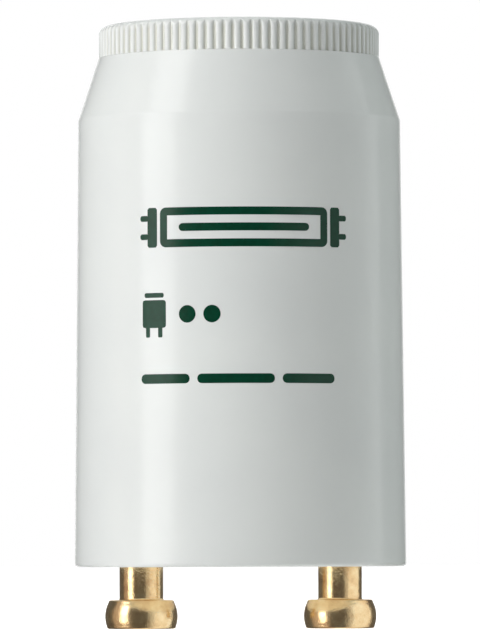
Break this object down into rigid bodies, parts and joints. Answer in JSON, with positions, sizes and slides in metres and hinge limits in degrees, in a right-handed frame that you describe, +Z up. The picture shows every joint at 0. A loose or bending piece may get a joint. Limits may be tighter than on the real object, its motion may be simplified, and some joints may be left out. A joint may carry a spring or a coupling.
{
  "type": "fluorescent starter",
  "caption": "Glow starter for fluorescent tubes: tapered white canister with a ribbed grip ring, standing on barrel-headed brass contact pins, with its glow bulb and capacitor inside.",
  "frame": {"origin": "on the canister's axis, in the plane of the contact pins' ends", "axes": "+Z up the canister's axis to its roof, X through the two pins, Y across them"},
  "size_m": [0.0212, 0.0212, 0.0386],
  "materials": {
    "canister_plastic": "satin moulded polycarbonate, cool white",
    "disc_plastic": "moulded, off-white",
    "brass": "turned, lightly tarnished",
    "bulb_glass": "clear blown glass",
    "stem_glass": "pressed lead glass",
    "wire": "tinned copper wire",
    "electrode": "drawn nickel",
    "bimetal": "rolled bimetal strip",
    "capacitor_coating": "dipped epoxy",
    "solder": "soft solder, dull"
  },
  "bodies": {
    "root": {"canister": "canister_plastic", "base_disc": "disc_plastic", "contact_pin_left": "brass", "contact_pin_right": "brass", "bulb_envelope": "bulb_glass", "bulb_stem": "stem_glass", "bulb_wire_left": "wire", "bulb_wire_right": "wire", "fixed_electrode": "electrode", "bimetal_strip": "bimetal", "capacitor_body": "capacitor_coating", "capacitor_wire_left": "wire", "capacitor_wire_right": "wire", "solder_left": "solder", "solder_right": "solder"}
  },
  "joints": []
}
